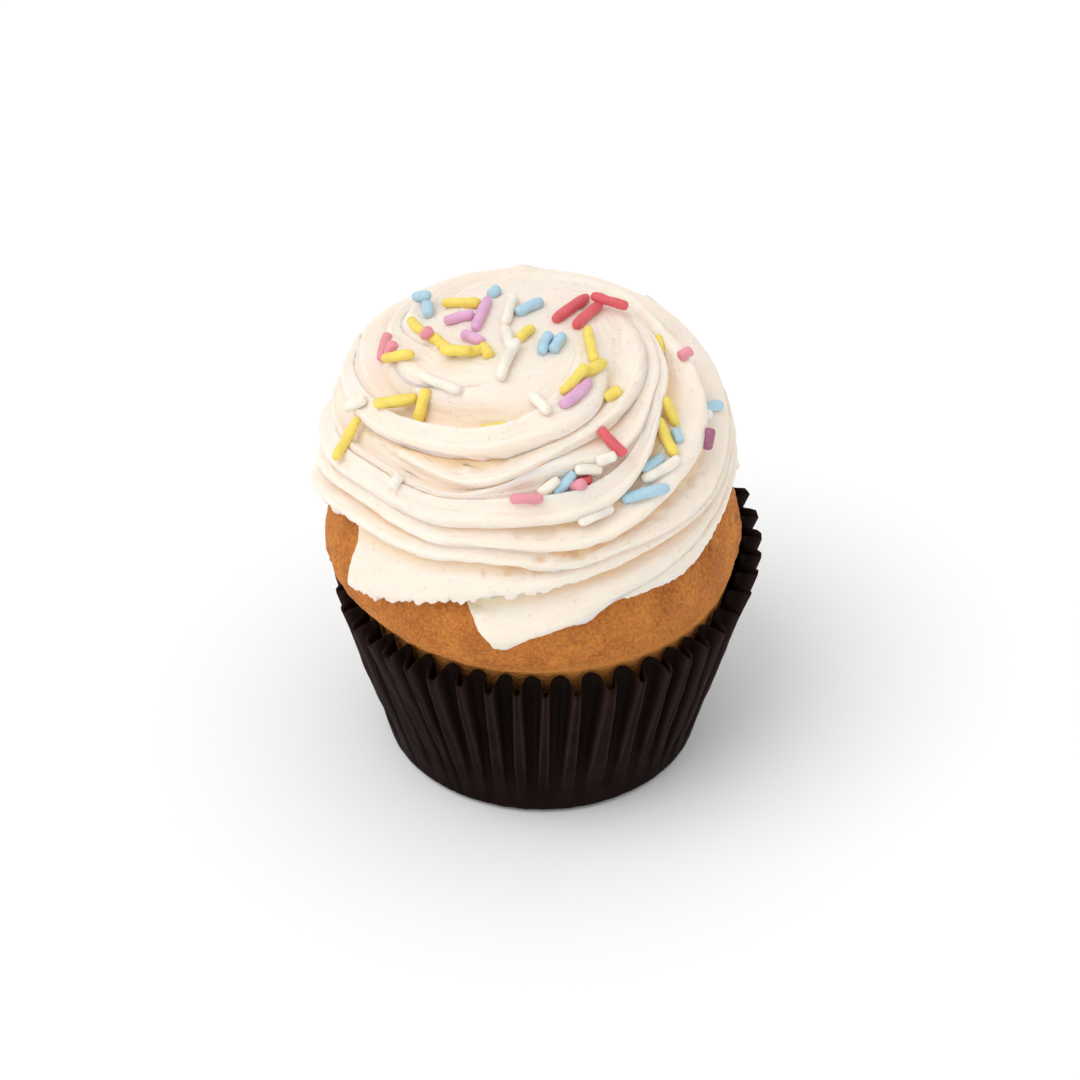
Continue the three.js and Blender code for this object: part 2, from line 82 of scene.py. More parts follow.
def lumps(points, size, shift=0):
    """Soft random lumps from -1 to 1, about `size` across, at an array of points."""
    at = np.asarray(points, float) / size + shift
    cell = np.floor(at).astype(int)
    part = at - cell
    part = part * part * (3 - 2 * part)
    total = 0
    for corner in np.ndindex(2, 2, 2):
        near = np.where(corner, part, 1 - part).prod(axis=-1)
        i, j, k = np.moveaxis((cell + corner) % len(LATTICE), -1, 0)
        total = total + near * LATTICE[i, j, k]
    return total


def relief(points, rows):
    """Lumps of several sizes added up, in mm. Each row is a height, a size and a shift."""
    return sum(height * lumps(points, size, shift) for height, size, shift in rows)


def away_from(azimuth, middle):
    """Degrees from a middle azimuth, from -180 to 180."""
    return (azimuth - middle + 180) % 360 - 180


# %% A closed skin over rings of points


def skin(name, rings, start=None, end=None, facts=None):
    """A mesh object over an array of rings, (rings, points, 3) in mm, closed at both ends by a point.
    facts are arrays of one number for each point of the rings, kept as attributes of those names."""
    count, around = rings.shape[:2]
    start = rings[0].mean(axis=0) if start is None else np.asarray(start, float)
    end = rings[-1].mean(axis=0) if end is None else np.asarray(end, float)
    points = np.concatenate([rings.reshape(-1, 3), [start, end]])
    here = np.arange(count * around).reshape(count, around)
    right = np.roll(here, -1, axis=1)
    quads = np.stack([here[:-1], right[:-1], right[1:], here[1:]], axis=-1).reshape(-1, 4)
    first, last = count * around, count * around + 1
    faces = quads.tolist()
    faces += [(first, b, a) for a, b in zip(here[0].tolist(), right[0].tolist())]
    faces += [(last, a, b) for a, b in zip(here[-1].tolist(), right[-1].tolist())]
    mesh = bpy.data.meshes.new(name)
    mesh.from_pydata((points * MM).tolist(), [], faces)
    mesh.shade_smooth()
    for fact, values in (facts or {}).items():
        ends = [values[0].mean(), values[-1].mean()]
        layer = mesh.attributes.new(fact, "FLOAT", "POINT")
        layer.data.foreach_set("value", np.concatenate([values.ravel(), ends]).astype(np.float32))
    piece = bpy.data.objects.new(name, mesh)
    bpy.context.scene.collection.objects.link(piece)
    return piece


def push_out(rings, height):
    """Moves each point of a grid of rings along the grid's own outward direction, in mm."""
    along = np.roll(rings, -1, axis=1) - np.roll(rings, 1, axis=1)
    up = np.gradient(rings, axis=0)
    out = np.cross(along, up)
    out /= np.maximum(np.linalg.norm(out, axis=-1, keepdims=True), 1e-9)
    return rings + out * height[..., None]


def count_faces(piece):
    return sum(len(face.vertices) - 2 for face in piece.data.polygons)


# %% [markdown]
# ## The camera
# The cake is seen from above the table, the way one looks at it on a counter. A long lens from half a
# metre away keeps its upright sides nearly parallel.

# %% Camera
LOOK_AT = Vector((-0.3, 0, 36.3)) * MM
CAMERA_TILT = math.radians(38)
CAMERA_AWAY = 0.5
FOCAL_LENGTH, SENSOR_WIDTH = 102.67, 36
lens = bpy.data.cameras.new("Camera")
lens.lens, lens.sensor_width = FOCAL_LENGTH, SENSOR_WIDTH
camera = bpy.data.objects.new("Camera", lens)
back = Vector((0, -math.cos(CAMERA_TILT), math.sin(CAMERA_TILT)))
camera.location = LOOK_AT + back * CAMERA_AWAY
camera.rotation_euler = (-back).to_track_quat("-Z", "Y").to_euler()
bpy.context.scene.collection.objects.link(camera)
bpy.context.scene.camera = camera
print("the camera is at", [round(value / MM) for value in camera.location])

# %% [markdown]
# ## Paper case
# A baking case is one disc of greaseproof paper, pressed over a fluted mould. Its base stays flat, and
# the wall gathers into pleats that deepen towards the rim. Cutting the pleats from a cone would leave
# them alike, so a wave round the wall makes them, and each pleat gets its own depth and slant.

# %% The sizes of the case
CASE_BASE_RADIUS, CASE_HEIGHT = 25.8, 34
RIM_INNER_RADIUS, RIM_OUTER_RADIUS = 31.8, 34.7
BASE_PLEAT_DEPTH, BASE_TURN = 0.5, 1.1
PAPER = 0.5  # thickness of the sheet
FLUTES, POINTS_PER_FLUTE = 45, 24
FLUTE_WOBBLE = [(0.9, 5, 40), (0.7, 8, 200)]
RIM_BENDS = [
    {"azimuth": 33, "width": 30, "out": 3.6, "up": 1.6},
    {"azimuth": 180, "width": 34, "out": -0.9, "up": -2},
]


def rim_bend(azimuth, key):
    """How far the rim is bent outwards or upwards at an azimuth, in mm."""
    total = 0
    for bend in RIM_BENDS:
        total = total + bend[key] * np.exp(-((away_from(azimuth, bend["azimuth"]) / bend["width"]) ** 2))
    return total


# %% The shape of one pleat
# The outside of a fold is flat between two sharp edges, and the recess between two folds is round.
# Half the width of that flat, the breadth of a flank and that of the painted highlight along an edge are
# shares of a flute.
FOLD_HALF = {"foot": 0.25, "rim": 0.10, "power": 1.5}
FOLD_FLANK, PAINTED_HIGHLIGHT_BREADTH = 0.13, 0.045
FLANK_SHARE, RECESS_SHARE = 1.7, 0.3  # how much of the pleat's depth the flank and the round recess take
UNEVEN_FOLDS, UNEVEN_DEPTH, UNEVEN_DROP = 0.3, 0.3, 0.25
CREASE_DROP = 1.7  # mm that the recesses' edge is lower than the folds'
SLANT, SLANT_SIZE, SLANT_POWER = 1.5, 1.3, 1.3  # degrees that pleats slant near the foot, and how it fades
CRUSHED = {"azimuth": -140, "width": 24, "flat": 0.6, "slant": 9, "wider": 0.07}  # pressed flat by fingers
CRINKLE, SHEET = [(0.22, 1, 0), (0.10, 0.45, 3)], 5  # its lumps lie on a sheet of 5 mm squares


def pleat(share):
    """Azimuth, place across its own flute and sizes of each point of the wall, at a column of shares."""
    flute = np.arange(FLUTES * POINTS_PER_FLUTE) / POINTS_PER_FLUTE
    even = flute / FLUTES * 360
    own = np.random.default_rng(5).uniform(-1, 1, (3, FLUTES))[:, np.round(flute).astype(int) % FLUTES]
    crushed = np.exp(-((away_from(even, CRUSHED["azimuth"]) / CRUSHED["width"]) ** 2))
    at_foot = np.stack([np.cos(np.radians(even)) * 4, np.sin(np.radians(even)) * 4, even * 0], axis=-1)
    slant = SLANT * lumps(at_foot, SLANT_SIZE) + CRUSHED["slant"] * crushed
    azimuth = even + waves(FLUTE_WOBBLE, even) + slant * (1 - share) ** SLANT_POWER
    half = lerp(FOLD_HALF["foot"], FOLD_HALF["rim"], share ** FOLD_HALF["power"])
    half = half * (1 + UNEVEN_FOLDS * own[0]) + CRUSHED["wider"] * crushed
    from_fold = np.abs(flute - np.round(flute))
    return azimuth, from_fold, half, own, crushed


# %% Rings of the wall
WALL_RINGS, LINING_RINGS = (0.03, 1, 40), (1, 0.04, 28)  # shares of the height, and how many rings
DEEP_FROM = 0.45  # the share of the height from which the pleats have their full depth


def wall_rings(shares, inwards=0.0):
    """Rings of the case's wall, and two facts of its points: painted shade for its recesses and a painted
    highlight for its fold edges.
    """
    share = np.linspace(*shares)[:, None]
    azimuth, from_fold, half, own, crushed = pleat(share)
    inside = ease(from_fold, half, half + FOLD_FLANK)
    wave = 1 - FLANK_SHARE * inside - RECESS_SHARE * ease(from_fold, half, 0.5)
    deep = lerp(BASE_PLEAT_DEPTH, RIM_OUTER_RADIUS - RIM_INNER_RADIUS, share) * ease(share, 0, DEEP_FROM)
    deep = deep * (1 + UNEVEN_DEPTH * own[1] * (1 - share**6))
    deep = deep * (1 - CRUSHED["flat"] * crushed * (1 - share**2))
    middle = lerp(CASE_BASE_RADIUS, (RIM_OUTER_RADIUS + RIM_INNER_RADIUS) / 2, share)
    radius = middle + deep / 2 * wave + rim_bend(azimuth, "out") * share**2 - inwards
    arch = 1 - np.sqrt(1 - np.clip((0.5 - from_fold) / (0.5 - half), 0, 1) ** 2)
    drop = CREASE_DROP * arch * (1 + UNEVEN_DROP * own[2])
    z = share * (CASE_HEIGHT - drop) + rim_bend(azimuth, "up") * share**2
    sheet = np.stack(np.broadcast_arrays(azimuth / SHEET, share * SHEET, 0 * share), axis=-1)
    crinkle = relief(sheet, CRINKLE) * share * (1 - share) * 4
    facts = {
        # painted shade: the recesses between the folds, where shade falls, are coloured darker
        "painted_recess_shade": inside * ease(share, 0.1, 0.55) * (1 - 0.7 * crushed),
        # painted highlight: a lighter colour along the folds' edges, where they catch the light
        "painted_fold_highlight": np.exp(-(((from_fold - half) / PAINTED_HIGHLIGHT_BREADTH) ** 2)) * ease(share, 0.15, 0.5),
    }
    return polar(radius + crinkle, azimuth, z), facts


# %% One closed sheet, with its foot and its lining
FOOT_RING = 12  # radius of the ring between the middle of the base and its edge


def make_case():
    wall, facts = wall_rings(WALL_RINGS)
    lining, lining_facts = wall_rings(LINING_RINGS, PAPER)
    azimuth = np.degrees(np.arctan2(wall[0, :, 1], wall[0, :, 0]))
    edge = CASE_BASE_RADIUS - BASE_TURN
    foot = [polar(radius, azimuth, 0) for radius in (FOOT_RING, edge)]
    floor = [polar(radius, azimuth, PAPER) for radius in (edge - PAPER, FOOT_RING)]
    rings = np.concatenate([foot, wall, lining, floor])
    flat = np.zeros((2, wall.shape[1]))
    facts = {key: np.concatenate([flat, facts[key], lining_facts[key], flat]) for key in facts}
    return skin("paper_case_pleated", rings, (0, 0, 0), (0, 0, PAPER), facts)


case = make_case()
print("paper case", count_faces(case), "triangles")

# %% [markdown]
# ## Sponge
# The batter fills the case, rises over its rim and sets there, as a muffin top wider than the paper's
# mouth. Its skin is dull and dry, with burst bubbles. Only that skin shows, so the crumb is pressed into
# the rim of the dome as real relief, and the part that the paper and the buttercream hide stays smooth.

# %% The sponge's form
FIT_GAP = 0.4
CROWN_RADIUS, CROWN_WIDEST_Z, CROWN_TOP_Z = 32.9, 39.5, 59.5
CROWN_SHIFT, CROWN_ROUNDNESS = -1.7, 0.8
CROWN_TUCK, CROWN_OVER_RIM = 70, 0.2
SPONGE_LUMPS = [(0.6, 2, 90), (0.25, 3, 20), (0.2, 7, 130)]


def inside_case(azimuth, share):
    mouth = lerp(CASE_BASE_RADIUS - BASE_PLEAT_DEPTH / 2, RIM_INNER_RADIUS, share)
    return mouth - PAPER - FIT_GAP + np.minimum(rim_bend(azimuth, "out"), 0) * share**2


def sponge_rings(around, sides, crowns, swell=0.0):
    """Rings up the inside of the case and over the crown, where crowns run from -1 at the rim to 1."""
    azimuth = np.arange(around) / around * 360
    floor_z = PAPER + FIT_GAP
    rings = []
    for share in np.arange(sides) / sides:
        corner = BASE_TURN if share == 0 else 0
        rings.append(polar(inside_case(azimuth, share) - corner, azimuth, lerp(floor_z, CASE_HEIGHT, share)))
    tuck = math.radians(CROWN_TUCK)
    for along in crowns:
        turn = math.radians(90 * max(along, 0))
        under = -min(along, 0) * tuck
        bulge = (math.cos(under) - math.cos(tuck)) / (1 - math.cos(tuck))
        fall = math.sin(under) / math.sin(tuck)
        z = lerp(CROWN_WIDEST_Z, CROWN_TOP_Z, math.sin(turn)) if along > 0 else 0
        z = z or lerp(CROWN_WIDEST_Z, CASE_HEIGHT + CROWN_OVER_RIM, fall)
        full = CROWN_RADIUS + waves(SPONGE_LUMPS, azimuth)
        radius = lerp(inside_case(azimuth, 1), full, bulge) * math.cos(turn) ** CROWN_ROUNDNESS + swell
        rings.append(polar(radius, azimuth, z + swell * max(along, 0), CROWN_SHIFT * bulge))
    return np.array(rings)


# %% Its crumb
CRUMB = [(0.25, 3.1, 0), (0.13, 1.3, 5), (0.10, 0.62, 9)]
CRUMB_STRENGTH = 0.6, 1.3  # where the skin is smooth, and where it is crusty
CRUST_SIZE = 9
BUBBLE_SIZE, BUBBLE_SHARE, BUBBLE_DEPTH = 0.9, 0.38, 1.2
PAINTED_LIGHT_BAND = 2.5  # mm above the paper that get painted light, lifting the shade where the crown tucks in over the rim
COVERED_FROM = 50, 53  # heights from which the buttercream hides the skin
CRUMB_POINTS, SIDE_RINGS = 620, 4
CROWN_RINGS = (-1, 0.5, 74), (0.56, 0.98, 8)  # shares of the way up the crown, and how many rings


def make_sponge():
    crowns = np.concatenate([np.linspace(*shares) for shares in CROWN_RINGS])
    rings = sponge_rings(CRUMB_POINTS, SIDE_RINGS, crowns)
    z = rings[..., 2]
    shown = ease(z, CASE_HEIGHT, CASE_HEIGHT + 1.5) * (1 - ease(z, *COVERED_FROM))
    crusty = ease(lumps(rings, CRUST_SIZE, 31), -0.3, 0.5)
    bubbles = np.maximum(lumps(rings, BUBBLE_SIZE, 13) - (1 - BUBBLE_SHARE), 0) * crusty
    crumb = relief(rings, CRUMB) * lerp(*CRUMB_STRENGTH, crusty)
    rings = push_out(rings, shown * (crumb - BUBBLE_DEPTH * bubbles))
    # Painted light: just above the paper the skin is coloured lighter, lifting the shade under the crown's
    # tuck.
    low = 1 - ease(z, CASE_HEIGHT, CASE_HEIGHT + PAINTED_LIGHT_BAND)
    # The burst bubbles get painted shade: a darker colour where shade falls in them.
    facts = {"painted_bubble_shade": np.clip(bubbles * 4, 0, 1) * shown, "low": low}
    return skin("sponge_crumb", rings, (0, 0, PAPER + FIT_GAP), (CROWN_SHIFT, 0, CROWN_TOP_Z), facts)


sponge = make_sponge()
print("sponge", count_faces(sponge), "triangles")

# %% [markdown]
# ## Buttercream swirl
# An open-star nozzle lays a rope with eight ridges. Piped in one rising turn after another, each ridge
# leans out over the one below it and ends in a thin lip. The swirl is one skin: its rings climb round the
# dome, and between two ridges a section goes in under the upper lip and out over the lower bead.

# %% The dome that holds the swirl
SWIRL_X, SWIRL_RADIUS = -2.3, 33.4
SWIRL_WIDEST_Z, SWIRL_TOP_Z, SWIRL_FOOT_Z = 44.8, 79, 42
SWIRL_BELOW_FOOT = 2
DOME_POWER = {"radius": 0.75, "height": 0.71}
dome_turn = np.radians(np.linspace(0, 90, 801))
dome_radius = SWIRL_RADIUS * np.clip(np.cos(dome_turn), 0, 1) ** DOME_POWER["radius"]
dome_z = lerp(SWIRL_WIDEST_Z, SWIRL_TOP_Z, np.sin(dome_turn) ** DOME_POWER["height"])
dome_step = np.hypot(np.diff(dome_radius), np.diff(dome_z))
dome_climb = SWIRL_WIDEST_Z - SWIRL_FOOT_Z + np.concatenate([[0], np.cumsum(dome_step)])
print("the dome's side is", round(float(dome_climb[-1]), 1), "mm long from foot to top")


def dome_at(climb):
    """Radius and height of the dome at a climb, and its outward direction there."""
    climb = np.minimum(climb, dome_climb[-1])
    low = np.minimum(climb - dome_climb[0], 0)
    radius = np.interp(climb, dome_climb, dome_radius)
    z = np.interp(climb, dome_climb, dome_z) + low
    middle = (dome_climb[1:] + dome_climb[:-1]) / 2
    out_r = np.interp(climb, middle, np.diff(dome_z) / dome_step)
    out_z = np.interp(climb, middle, -np.diff(dome_radius) / dome_step)
    return radius, z, out_r, out_z


def dome_point(climb, azimuth, inwards=0.0, up=0.0):
    radius, z, out_r, out_z = dome_at(climb)
    radius = np.maximum(radius - inwards * out_r - up * out_z, 0.2)
    return polar(radius, azimuth, z - inwards * out_z + up * out_r, SWIRL_X)


# %% The ridges' own ways round it
CLIMB = 0.118  # mm that the rope rises for each degree it turns
WAY_STEP = 40  # degrees from one entry of a ridge's rows to the next
RIDGES = [  # the azimuth of its tip, its lean, how many mm it strays upwards, and its lip's overhang
    (10, 0.9, [4, 4.5, 4.1, 3.8, 4.3, 0.8, -3, 0.5, 0, 0, -1.7],
     [1, 1, 1, 1, 0.3, -0.8, -0.8, 0.7, 0.8, 0.6, 0.5]),
    (52, 0.9, [3, 5.5, 7.5, 8.3, 4.9, 1.2, -1, 2.8, 3.2, 1.5, -0.2],
     [1, 1, 1, 0.6, -0.7, -0.8, -0.6, 0.5, 0.6, 0.5, 0.4]),
    (92, 0.8, [2.5, 4.5, 5.1, 5, 1.3, -1.1, 5.5, 7.2, 4.7, 2.5, 0.3],
     [1, 1, 0.9, 0.6, 1, 1, 1, 0.9, 0.7, 0.6, 0.4]),
    (132, 1, [2.5, 5.3, 7.4, 2.9, -1.4, -0.8, 8.2, 5.5, 2.2, 0, -0.2],
     [1, 1, 1, 0.5, 1, 1, 1, 0.9, 0.8, 0.6, 0.4]),
    (170, 0.9, [4.5, 7.9, 5, 0.3, -3, -1, 0, 0, -2, -4, -4],
     [1, 0.45, 0.5, 0.5, 0.3, 0.6, 0.9, 0.9, 0.7, 0.3, 0.1]),
    (217, 0.93, [0.8, 3.7, 3.7, 1, 0.5, 1, 1, 0, -1, -4, -5],
     [1, 0.45, 0.8, 1, 0.9, 0.9, 0.8, 0.7, 0.4, 0.1, 0.1]),
    (262, 0.72, [0.5, 2.8, 4, 3, 3, 2, 0, -3, -4.4, -5.7, -4.6],
     [1, 1, 1, 1, 1, 1, 0.7, -0.2, -1, -1, -0.6]),
    (298, 0.8, [6.2, 5.8, 4.1, 2.8, 2.1, 0.4, -2.3, -4.2, -5.5, -6, -2.2],
     [1, 1, 1, 1, 1, 1, 1, 1, 1, 0.9, 0.5]),
]
START = np.array([ridge[0] for ridge in RIDGES], float)
LEAN = np.array([ridge[1] for ridge in RIDGES], float)
STRAY = np.array([ridge[2] for ridge in RIDGES], float)
HANG = np.array([ridge[3] for ridge in RIDGES], float)  # as a share, and below 0 the lip is set back
GAP = (np.roll(START, -1) - START) % 360
print("the ridges start", GAP.min(), "to", GAP.max(), "degrees apart")

# %% The climb of a lip
LEAST_GAP = 0.5  # mm that each lip stays below the one above it
LAST_TURN, ENDING = 425, 345  # the degrees at which the rope ends, and from which the ridges run together


def along_way(table, which, turn):
    """A ridge's value at a turn, eased from one entry of its row to the next."""
    at = np.clip(turn / WAY_STEP, 0, table.shape[1] - 1)
    i = np.minimum(np.floor(at).astype(int), table.shape[1] - 2)
    return lerp(table[which, i], table[which, i + 1], ease(at - i, 0, 1))


def ending(turn):
    return ease(turn, ENDING, LAST_TURN)


def free_climb(which, turn):
    return CLIMB * turn + along_way(STRAY, which, turn) * (1 - ending(turn))


def climb_of(which, turn):
    """Climb of a ridge's lip, kept below the lip of the ridge above it."""
    over = (which - 1) % len(RIDGES)
    return np.minimum(free_climb(which, turn), free_climb(over, turn + GAP[over]) - LEAST_GAP)


tips = climb_of(np.arange(len(RIDGES)), 0)
print("the tips start", np.round(tips, 1), "mm up the dome")


# %% The section from one lip to the next
LIP_SECTION = np.array([  # share of the way down, share of the overhang, mm down the dome, mm tucked in
    (0, 0, 0.4, 0.75),
    (0.035, 0.5, 0.6, 1),
    (0.09, 1, -0.2, 0),
    (0.3, 0.8, 0, 0),
    (0.46, 0.42, 0, 0),
    (0.6, 0.1, 0, -0.1),
    (0.74, -0.06, 0, -0.35),
    (0.87, -0.1, 0, -0.2),
    (0.955, -0.04, 0.2, 0.25),
    (1, 0, 0.4, 0.75),
])
POINTS_BETWEEN = [4, 3, 4, 5, 5, 5, 5, 4, 3]


def through(rows, counts):
    """Points of a smooth line through the rows, with so many steps from each row to the next."""
    slope = np.gradient(rows, axis=0)
    line = []
    for i, count in enumerate(counts):
        for t in np.arange(count) / count:
            near, far = (1 + 2 * t) * (1 - t) ** 2, t * t * (3 - 2 * t)
            line.append(
                near * rows[i] + t * (1 - t) ** 2 * slope[i]
                + far * rows[i + 1] - t * t * (1 - t) * slope[i + 1]
            )
    return np.array(line)


section = through(LIP_SECTION, POINTS_BETWEEN)
print("a ridge's section has", len(section), "points, and the rope", len(section) * len(RIDGES))

# %% [markdown]
# ### Laying the rope
# Each point of the skin belongs to a place across the rope and to a level, which is how many degrees the
# rope has turned there. The arrays below hold one number for each point, levels down and places across.
# The levels lie close together near the torn tips, where the most is to be seen.

# %% Azimuth and climb of every point
TIP_BLUR = 4  # degrees in which the rope comes out of the sponge
LEVEL_STEPS = [(-TIP_BLUR, 0.58), (70, 1.4), (190, 2.4)]  # from this level on, so many degrees a ring
OWN_EDGE = 0.035, 0.09  # shares of the way down between which a point leaves the upper lip's own edge
SHEAR_UNTIL = 150  # the sections lean at the tips, and stand upright from this level on


def level_list():
    ends = [start for start, _ in LEVEL_STEPS[1:]] + [LAST_TURN]
    spans = [np.arange(start, end, step) for (start, step), end in zip(LEVEL_STEPS, ends)]
    return np.concatenate([*spans, [LAST_TURN]])


which = np.repeat(np.arange(len(RIDGES)), len(section))
beyond = (which + 1) % len(RIDGES)
down, under, sink, tuck = np.tile(section, (len(RIDGES), 1)).T
level = level_list()[:, None]
gap = GAP[which]
lower = ease(down, *OWN_EDGE)
slant = gap * LEAN[beyond] * (1 - down) * lower
turn = level + slant * (1 - ease(level, 0, SHEAR_UNTIL))
azimuth = START[which] + gap * down + turn
above = climb_of(which, turn + gap * down)
below = climb_of(beyond, turn - gap * (1 - down))
climb = lerp(above, below, down)
there = ease(level, -TIP_BLUR, 0)  # 0 at the buried end of the rope, 1 from its tips on
print("the rope is", azimuth.shape[0], "rings of", azimuth.shape[1], "points")

# %% How much room the lips have
# Close to another lip, a lip overhangs and stands back by less. At the lip both of its sides share one
# measure, or the skin would tear there.
CLOSE_RIDGES, LEAST_ROOM, ROOM_POWER = 5, 0.15, 1.4  # lips less than 5 mm apart are close
LIP_BREADTH = 0.09  # share of the way down
LIP_FADE = {"from": 36, "to": 47, "left": 0.3}  # climbs between which the lips melt into the top
over, after = (which - 1) % len(RIDGES), (beyond + 1) % len(RIDGES)
higher = climb_of(over, turn + gap * down + GAP[over]) - above
deeper = below - climb_of(after, turn - gap * (1 - down) - GAP[beyond])
from_lip = np.minimum(down, 1 - down)
at_lip = 1 - ease(from_lip, 0, LIP_BREADTH)
least = np.minimum(above - below, np.where(down < 0.5, higher, deeper))
space = np.clip(lerp(above - below, least, at_lip) / CLOSE_RIDGES, LEAST_ROOM, 1)
melt = lerp(1, LIP_FADE["left"], ease(climb, LIP_FADE["from"], LIP_FADE["to"])) * (1 - ending(turn))
room = space**ROOM_POWER * melt
print("the lips' room is from", round(float(room.min()), 2), "to", round(float(room.max()), 2))

# %% Lips that overhang, and lips that stand back
LIP_OVERHANG, LIP_SET_BACK = 4, 3
HIGH_LIPS = {"from": 12, "to": 22, "share": 0.6}  # climbs between which they come to overhang by less
ROUND_LIPS = {"from": 9, "to": 22, "sharp": 0.15, "round": 1.5}  # from torn to round as they climb
TUCK_LIMIT, TUCK_EDGE = 0.85, 0.06  # share of the overhang that a round edge may go in by, and where
hang_here, hang_next = along_way(HANG, which, turn), along_way(HANG, beyond, turn)
set_back = np.clip(-lerp(hang_here, hang_next, lower), 0, 1)
reach = LIP_OVERHANG * lerp(1, HIGH_LIPS["share"], ease(climb, HIGH_LIPS["from"], HIGH_LIPS["to"]))
lip = LIP_SET_BACK * set_back
deep = reach * np.maximum(hang_here, 0)
own_deep = reach * np.maximum(lerp(hang_here, hang_next, ease(down, 0.1, 0.9)), 0)
high = ease(climb, ROUND_LIPS["from"], ROUND_LIPS["to"])
depth = lerp(lip, deep, under) + tuck * lerp(ROUND_LIPS["sharp"], ROUND_LIPS["round"], high) * (1 - set_back)
depth = np.where(from_lip < TUCK_EDGE, np.minimum(depth, np.maximum(lip, TUCK_LIMIT * own_deep)), depth)
print("the creases are up to", round(float((depth * room).max()), 1), "mm deep")

# %% Tips that flare, and knobs
SUNK_DEPTH = 9  # mm below the dome at which the rope starts, inside the sponge's crown
TIP_FLARE = {"out": [0.9] * 7 + [-0.4], "until": 45}  # mm that each ridge's tip stands out or in
KNOBS = [  # azimuth, climb, half width in degrees, half height, how far it stands out
    (-203, 28, 5, 2, 1.2), (-197, 22.5, 7, 2, -1.1), (92, 36, 5, 3, 0.7), (90, 38, 50, 7, -0.9),
]


def apart(climb, spot):
    """How far points of the dome are from the middle of a spot, 1 at the edge of its oval."""
    away = away_from(azimuth, spot[0])
    off = climb - spot[1] - CLIMB * away
    return np.sqrt((away / spot[2]) ** 2 + (off / spot[3]) ** 2)


tip_out = np.array(TIP_FLARE["out"])
flare = lerp(tip_out[which], tip_out[beyond], lower)
flare = flare * (1 - ease(turn, 0, TIP_FLARE["until"])) * (1 - under)
knob = sum(spot[4] * np.exp(-(apart(climb, spot) ** 2)) for spot in KNOBS)
inwards = lerp(SUNK_DEPTH, depth * room - flare - knob, there)
print("the skin stands out by up to", round(float(-inwards.min()), 1), "mm")

# %% [markdown]
# ### Torn edges
# Buttercream tears where the nozzle lets go of it, and its flanges crumble. Every lip wanders up and down
# by a sum of random waves, most of all at the foot, and in a few spots it is torn further or sags.

# %% How far each lip wanders
NICKS = [  # ridge, turn, half width in degrees, mm that its lip hangs lower there
    (7, 20, 15, 2.6), (6, 2.5, 3.5, 1.0), (6, 24, 3, 1.1), (6, 38, 7, -0.8), (5, 0, 7, -1.5),
]
TORN = [  # azimuth, climb, half width in degrees, half height, how much more the edges tore there
    (-80, 14, 26, 3, 1.1), (-118, 30, 24, 2.2, 0.8),
]
TEAR, TORN_UNTIL = {"low": 1, "high": 0.3, "all": 0.75}, (11, 17)  # how torn, below and above these climbs
TEARS = [(0.55, 2.3, 0), (0.5, 1.0, 3), (0.6, 5.5, 5)]  # strength, length in mm and seed of each wave
DEEP_TEARS = {"strength": 0.9, "length": 1.5, "seed": 9, "from": 0.35}
FOOT_TEARS = {"strength": 1.0, "length": 0.6, "seed": 12, "until": (9, 15)}
CREST, CREST_UNTIL = 0.7, (0.12, 0.35)  # a lip that is set back wanders as a broad crest instead


def ragged(length, seed):
    """Random departures from -1 to 1 along each lip."""
    return lumps(np.stack(np.broadcast_arrays(travel / length, own * 7.3 + seed, 0 * travel), axis=-1), 1.0)


own = np.where(down < 0.5, which, beyond)
travel = np.radians(azimuth) * dome_at(climb)[0]
torn = lerp(TEAR["low"], TEAR["high"], ease(climb, *TORN_UNTIL))
torn = torn + sum(spot[4] * np.exp(-(apart(climb, spot) ** 2)) for spot in TORN)
edge = sum(strength * ragged(length, seed) for strength, length, seed in TEARS)
deepest = ragged(DEEP_TEARS["length"], DEEP_TEARS["seed"]) - DEEP_TEARS["from"]
edge = edge + DEEP_TEARS["strength"] * np.maximum(deepest, 0)
finest = ragged(FOOT_TEARS["length"], FOOT_TEARS["seed"]) * (1 - ease(climb, *FOOT_TEARS["until"]))
edge = edge + FOOT_TEARS["strength"] * finest
nick = sum(sag * np.exp(-(((turn - at) / half) ** 2)) * (own == ridge) for ridge, at, half, sag in NICKS)
backed = np.clip(-hang_here, 0, 1)
at_edge = np.maximum(at_lip * (1 - CREST * backed), backed * (1 - ease(down, *CREST_UNTIL)))
up = at_edge * TEAR["all"] * torn * edge * melt * space - at_lip * nick - sink * room * there
rings = dome_point(climb, azimuth, inwards, up)
print("the lips wander by up to", round(float(np.abs(up).max()), 1), "mm")

# %% [markdown]
# ### Streaks, lumps and a crumbled place
# The nozzle's teeth draw fine streaks along each ridge, air leaves soft lumps, and the creases tear where
# the rope bends. A bump map could draw them all, but it would leave the outline and the lips' edges
# smooth, so they are real relief: random lumps of several sizes, stretched along the ridges for streaks.

# %% A crumbled place
CRUMBLED = [  # azimuth, climb, half width in degrees, half height, mm of broken lumps
    (-80, 15.2, 20, 1.8, 0.9),
]
CRUMBLED_EDGE, FRAYED = (0.6, 1.05), [(0.35, 1.3, 14)]  # it ends between these shares of its oval
CRUMBLED_DOWN = (0.08, 0.2), (0.5, 0.75)  # shares of the way down in which it starts and ends
CHUNKS, CHUNK_SINK = [(0.8, 2.2, 17), (0.5, 1.0, 19)], 0.3
broken = 0
frayed = relief(dome_point(climb + up, azimuth), FRAYED)
for spot in CRUMBLED:
    broken = broken + spot[4] * there * (1 - ease(apart(climb + up, spot) + frayed, *CRUMBLED_EDGE))
broken = broken * ease(down, *CRUMBLED_DOWN[0]) * (1 - ease(down, *CRUMBLED_DOWN[1]))
chunks = broken * (relief(rings, CHUNKS) - CHUNK_SINK)
print("the chunks are up to", round(float(np.abs(chunks).max()), 2), "mm")

